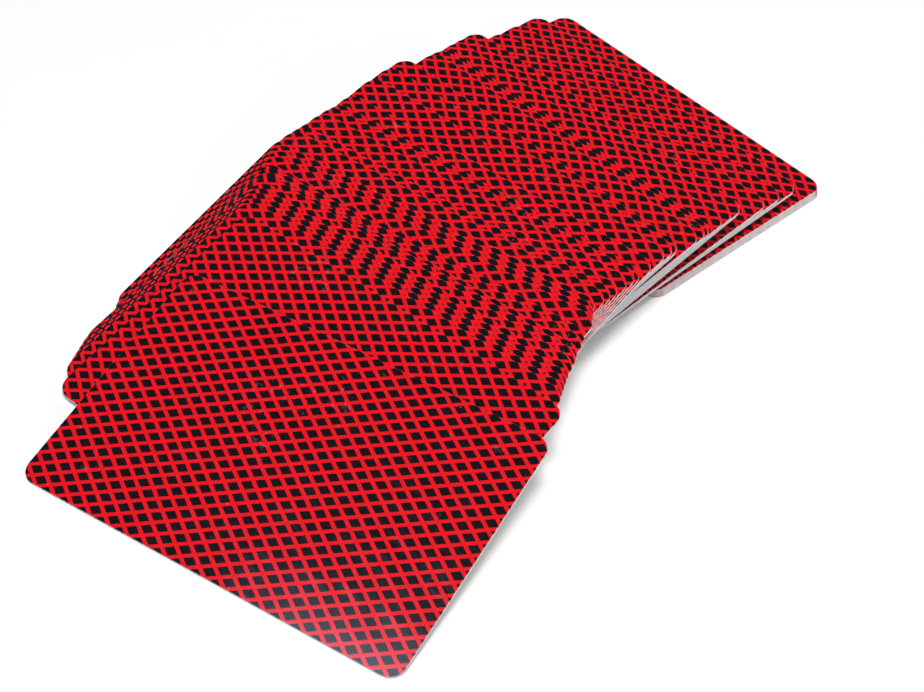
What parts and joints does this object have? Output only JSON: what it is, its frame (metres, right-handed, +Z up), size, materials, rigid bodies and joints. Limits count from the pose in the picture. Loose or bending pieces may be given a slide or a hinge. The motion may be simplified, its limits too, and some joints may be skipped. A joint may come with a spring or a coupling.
{
  "type": "playing card deck",
  "caption": "Deck of playing cards swept into a curved leaning ribbon, backs up with a red and black diamond lattice; each card draws out of the spread.",
  "frame": {"origin": "middle of the spread's bounding box, on the table that the bottom card lies on", "axes": "+Z up; +X along the bottom card's long side, towards the inner side of the curve; +Y from the near end, where the top card lies, to the far end, where the bottom card lies"},
  "size_m": [0.1274, 0.1876, 0.0145],
  "materials": {
    "coated_card": "satin"
  },
  "bodies": {
    "plain_joker": {"plain_joker": "coated_card"},
    "colour_joker": {"colour_joker": "coated_card"},
    "ace_of_spades": {"ace_of_spades": "coated_card"},
    "two_of_spades": {"two_of_spades": "coated_card"},
    "three_of_spades": {"three_of_spades": "coated_card"},
    "four_of_spades": {"four_of_spades": "coated_card"},
    "five_of_spades": {"five_of_spades": "coated_card"},
    "six_of_spades": {"six_of_spades": "coated_card"},
    "seven_of_spades": {"seven_of_spades": "coated_card"},
    "eight_of_spades": {"eight_of_spades": "coated_card"},
    "nine_of_spades": {"nine_of_spades": "coated_card"},
    "ten_of_spades": {"ten_of_spades": "coated_card"},
    "jack_of_spades": {"jack_of_spades": "coated_card"},
    "queen_of_spades": {"queen_of_spades": "coated_card"},
    "king_of_spades": {"king_of_spades": "coated_card"},
    "ace_of_diamonds": {"ace_of_diamonds": "coated_card"},
    "two_of_diamonds": {"two_of_diamonds": "coated_card"},
    "three_of_diamonds": {"three_of_diamonds": "coated_card"},
    "four_of_diamonds": {"four_of_diamonds": "coated_card"},
    "five_of_diamonds": {"five_of_diamonds": "coated_card"},
    "six_of_diamonds": {"six_of_diamonds": "coated_card"},
    "seven_of_diamonds": {"seven_of_diamonds": "coated_card"},
    "eight_of_diamonds": {"eight_of_diamonds": "coated_card"},
    "nine_of_diamonds": {"nine_of_diamonds": "coated_card"},
    "ten_of_diamonds": {"ten_of_diamonds": "coated_card"},
    "jack_of_diamonds": {"jack_of_diamonds": "coated_card"},
    "queen_of_diamonds": {"queen_of_diamonds": "coated_card"},
    "king_of_diamonds": {"king_of_diamonds": "coated_card"},
    "ace_of_clubs": {"ace_of_clubs": "coated_card"},
    "two_of_clubs": {"two_of_clubs": "coated_card"},
    "three_of_clubs": {"three_of_clubs": "coated_card"},
    "four_of_clubs": {"four_of_clubs": "coated_card"},
    "five_of_clubs": {"five_of_clubs": "coated_card"},
    "six_of_clubs": {"six_of_clubs": "coated_card"},
    "seven_of_clubs": {"seven_of_clubs": "coated_card"},
    "eight_of_clubs": {"eight_of_clubs": "coated_card"},
    "nine_of_clubs": {"nine_of_clubs": "coated_card"},
    "ten_of_clubs": {"ten_of_clubs": "coated_card"},
    "jack_of_clubs": {"jack_of_clubs": "coated_card"},
    "queen_of_clubs": {"queen_of_clubs": "coated_card"},
    "king_of_clubs": {"king_of_clubs": "coated_card"},
    "ace_of_hearts": {"ace_of_hearts": "coated_card"},
    "two_of_hearts": {"two_of_hearts": "coated_card"},
    "three_of_hearts": {"three_of_hearts": "coated_card"},
    "four_of_hearts": {"four_of_hearts": "coated_card"},
    "five_of_hearts": {"five_of_hearts": "coated_card"},
    "six_of_hearts": {"six_of_hearts": "coated_card"},
    "seven_of_hearts": {"seven_of_hearts": "coated_card"},
    "eight_of_hearts": {"eight_of_hearts": "coated_card"},
    "nine_of_hearts": {"nine_of_hearts": "coated_card"},
    "ten_of_hearts": {"ten_of_hearts": "coated_card"},
    "jack_of_hearts": {"jack_of_hearts": "coated_card"},
    "queen_of_hearts": {"queen_of_hearts": "coated_card"},
    "king_of_hearts": {"king_of_hearts": "coated_card"}
  },
  "joints": [
    {"name": "colour_joker_draw", "type": "slide", "parent": "plain_joker", "child": "colour_joker", "axis": [-1, 0, 0], "range_m": [0, 0.095]},
    {"name": "ace_of_spades_draw", "type": "slide", "parent": "plain_joker", "child": "ace_of_spades", "axis": [-1, 0, 0], "range_m": [0, 0.095]},
    {"name": "two_of_spades_draw", "type": "slide", "parent": "plain_joker", "child": "two_of_spades", "axis": [-1, 0, 0], "range_m": [0, 0.095]},
    {"name": "three_of_spades_draw", "type": "slide", "parent": "plain_joker", "child": "three_of_spades", "axis": [-1, 0, 0], "range_m": [0, 0.095]},
    {"name": "four_of_spades_draw", "type": "slide", "parent": "plain_joker", "child": "four_of_spades", "axis": [-1, 0, 0], "range_m": [0, 0.095]},
    {"name": "five_of_spades_draw", "type": "slide", "parent": "plain_joker", "child": "five_of_spades", "axis": [-0.9999, -0.0113, -0.0006], "range_m": [0, 0.095]},
    {"name": "six_of_spades_draw", "type": "slide", "parent": "plain_joker", "child": "six_of_spades", "axis": [-0.9999, -0.0113, -0.0006], "range_m": [0, 0.095]},
    {"name": "seven_of_spades_draw", "type": "slide", "parent": "plain_joker", "child": "seven_of_spades", "axis": [-0.9997, -0.0244, -0.0013], "range_m": [0, 0.095]},
    {"name": "eight_of_spades_draw", "type": "slide", "parent": "plain_joker", "child": "eight_of_spades", "axis": [-0.9997, -0.0244, -0.0013], "range_m": [0, 0.095]},
    {"name": "nine_of_spades_draw", "type": "slide", "parent": "plain_joker", "child": "nine_of_spades", "axis": [-0.9993, -0.0375, -0.002], "range_m": [0, 0.095]},
    {"name": "ten_of_spades_draw", "type": "slide", "parent": "plain_joker", "child": "ten_of_spades", "axis": [-0.9993, -0.0375, -0.002], "range_m": [0, 0.095]},
    {"name": "jack_of_spades_draw", "type": "slide", "parent": "plain_joker", "child": "jack_of_spades", "axis": [-0.9994, -0.0348, -0.0019], "range_m": [0, 0.095]},
    {"name": "queen_of_spades_draw", "type": "slide", "parent": "plain_joker", "child": "queen_of_spades", "axis": [-0.9994, -0.0348, -0.0019], "range_m": [0, 0.095]},
    {"name": "king_of_spades_draw", "type": "slide", "parent": "plain_joker", "child": "king_of_spades", "axis": [-0.9995, -0.0322, -0.0015], "range_m": [0, 0.095]},
    {"name": "ace_of_diamonds_draw", "type": "slide", "parent": "plain_joker", "child": "ace_of_diamonds", "axis": [-0.9995, -0.0322, -0.0015], "range_m": [0, 0.095]},
    {"name": "two_of_diamonds_draw", "type": "slide", "parent": "plain_joker", "child": "two_of_diamonds", "axis": [-0.9996, -0.0296, -0.0012], "range_m": [0, 0.095]},
    {"name": "three_of_diamonds_draw", "type": "slide", "parent": "plain_joker", "child": "three_of_diamonds", "axis": [-0.9996, -0.0296, -0.0012], "range_m": [0, 0.095]},
    {"name": "four_of_diamonds_draw", "type": "slide", "parent": "plain_joker", "child": "four_of_diamonds", "axis": [-0.9996, -0.027, -0.0008], "range_m": [0, 0.095]},
    {"name": "five_of_diamonds_draw", "type": "slide", "parent": "plain_joker", "child": "five_of_diamonds", "axis": [-0.9996, -0.027, -0.0008], "range_m": [0, 0.095]},
    {"name": "six_of_diamonds_draw", "type": "slide", "parent": "plain_joker", "child": "six_of_diamonds", "axis": [-0.9997, -0.0244, -0.0004], "range_m": [0, 0.095]},
    {"name": "seven_of_diamonds_draw", "type": "slide", "parent": "plain_joker", "child": "seven_of_diamonds", "axis": [-0.9997, -0.0244, -0.0004], "range_m": [0, 0.095]},
    {"name": "eight_of_diamonds_draw", "type": "slide", "parent": "plain_joker", "child": "eight_of_diamonds", "axis": [-0.9998, -0.0218, 0], "range_m": [0, 0.095]},
    {"name": "nine_of_diamonds_draw", "type": "slide", "parent": "plain_joker", "child": "nine_of_diamonds", "axis": [-0.9998, -0.0218, 0], "range_m": [0, 0.095]},
    {"name": "ten_of_diamonds_draw", "type": "slide", "parent": "plain_joker", "child": "ten_of_diamonds", "axis": [-0.9981, -0.0584, 0.019], "range_m": [0, 0.095]},
    {"name": "jack_of_diamonds_draw", "type": "slide", "parent": "plain_joker", "child": "jack_of_diamonds", "axis": [-0.9981, -0.0584, 0.019], "range_m": [0, 0.095]},
    {"name": "queen_of_diamonds_draw", "type": "slide", "parent": "plain_joker", "child": "queen_of_diamonds", "axis": [-0.9956, -0.0927, 0.0127], "range_m": [0, 0.095]},
    {"name": "king_of_diamonds_draw", "type": "slide", "parent": "plain_joker", "child": "king_of_diamonds", "axis": [-0.9956, -0.0927, 0.0127], "range_m": [0, 0.095]},
    {"name": "ace_of_clubs_draw", "type": "slide", "parent": "plain_joker", "child": "ace_of_clubs", "axis": [-0.9919, -0.1268, 0.0064], "range_m": [0, 0.095]},
    {"name": "two_of_clubs_draw", "type": "slide", "parent": "plain_joker", "child": "two_of_clubs", "axis": [-0.9919, -0.1268, 0.0064], "range_m": [0, 0.095]},
    {"name": "three_of_clubs_draw", "type": "slide", "parent": "plain_joker", "child": "three_of_clubs", "axis": [-0.987, -0.1607, 0], "range_m": [0, 0.095]},
    {"name": "four_of_clubs_draw", "type": "slide", "parent": "plain_joker", "child": "four_of_clubs", "axis": [-0.987, -0.1607, 0], "range_m": [0, 0.095]},
    {"name": "five_of_clubs_draw", "type": "slide", "parent": "plain_joker", "child": "five_of_clubs", "axis": [-0.9859, -0.1675, -0.0013], "range_m": [0, 0.095]},
    {"name": "six_of_clubs_draw", "type": "slide", "parent": "plain_joker", "child": "six_of_clubs", "axis": [-0.9847, -0.1743, -0.0025], "range_m": [0, 0.095]},
    {"name": "seven_of_clubs_draw", "type": "slide", "parent": "plain_joker", "child": "seven_of_clubs", "axis": [-0.9835, -0.181, -0.0038], "range_m": [0, 0.095]},
    {"name": "eight_of_clubs_draw", "type": "slide", "parent": "plain_joker", "child": "eight_of_clubs", "axis": [-0.9822, -0.1878, -0.0051], "range_m": [0, 0.095]},
    {"name": "nine_of_clubs_draw", "type": "slide", "parent": "plain_joker", "child": "nine_of_clubs", "axis": [-0.9809, -0.1945, -0.0064], "range_m": [0, 0.095]},
    {"name": "ten_of_clubs_draw", "type": "slide", "parent": "plain_joker", "child": "ten_of_clubs", "axis": [-0.9795, -0.2012, -0.0076], "range_m": [0, 0.095]},
    {"name": "jack_of_clubs_draw", "type": "slide", "parent": "plain_joker", "child": "jack_of_clubs", "axis": [-0.9781, -0.208, -0.0089], "range_m": [0, 0.095]},
    {"name": "queen_of_clubs_draw", "type": "slide", "parent": "plain_joker", "child": "queen_of_clubs", "axis": [-0.977, -0.213, -0.0099], "range_m": [0, 0.095]},
    {"name": "king_of_clubs_draw", "type": "slide", "parent": "plain_joker", "child": "king_of_clubs", "axis": [-0.9759, -0.218, -0.0108], "range_m": [0, 0.095]},
    {"name": "ace_of_hearts_draw", "type": "slide", "parent": "plain_joker", "child": "ace_of_hearts", "axis": [-0.9747, -0.223, -0.0118], "range_m": [0, 0.095]},
    {"name": "two_of_hearts_draw", "type": "slide", "parent": "plain_joker", "child": "two_of_hearts", "axis": [-0.9776, -0.2105, -0.0094], "range_m": [0, 0.095]},
    {"name": "three_of_hearts_draw", "type": "slide", "parent": "plain_joker", "child": "three_of_hearts", "axis": [-0.9802, -0.1979, -0.007], "range_m": [0, 0.095]},
    {"name": "four_of_hearts_draw", "type": "slide", "parent": "plain_joker", "child": "four_of_hearts", "axis": [-0.9827, -0.1852, -0.0046], "range_m": [0, 0.095]},
    {"name": "five_of_hearts_draw", "type": "slide", "parent": "plain_joker", "child": "five_of_hearts", "axis": [-0.985, -0.1726, -0.0022], "range_m": [0, 0.095]},
    {"name": "six_of_hearts_draw", "type": "slide", "parent": "plain_joker", "child": "six_of_hearts", "axis": [-0.9871, -0.1599, 0.0002], "range_m": [0, 0.095]},
    {"name": "seven_of_hearts_draw", "type": "slide", "parent": "plain_joker", "child": "seven_of_hearts", "axis": [-0.987, -0.1607, 0], "range_m": [0, 0.095]},
    {"name": "eight_of_hearts_draw", "type": "slide", "parent": "plain_joker", "child": "eight_of_hearts", "axis": [-0.9869, -0.1616, -0.0002], "range_m": [0, 0.095]},
    {"name": "nine_of_hearts_draw", "type": "slide", "parent": "plain_joker", "child": "nine_of_hearts", "axis": [-0.9867, -0.1624, -0.0003], "range_m": [0, 0.095]},
    {"name": "ten_of_hearts_draw", "type": "slide", "parent": "plain_joker", "child": "ten_of_hearts", "axis": [-0.9866, -0.1633, -0.0005], "range_m": [0, 0.095]},
    {"name": "jack_of_hearts_draw", "type": "slide", "parent": "plain_joker", "child": "jack_of_hearts", "axis": [-0.9864, -0.1641, -0.0006], "range_m": [0, 0.095]},
    {"name": "queen_of_hearts_draw", "type": "slide", "parent": "plain_joker", "child": "queen_of_hearts", "axis": [-0.986, -0.1667, -0.0011], "range_m": [0, 0.095]},
    {"name": "king_of_hearts_draw", "type": "slide", "parent": "plain_joker", "child": "king_of_hearts", "axis": [-0.9521, -0.3057, 0], "range_m": [0, 0.095]}
  ]
}
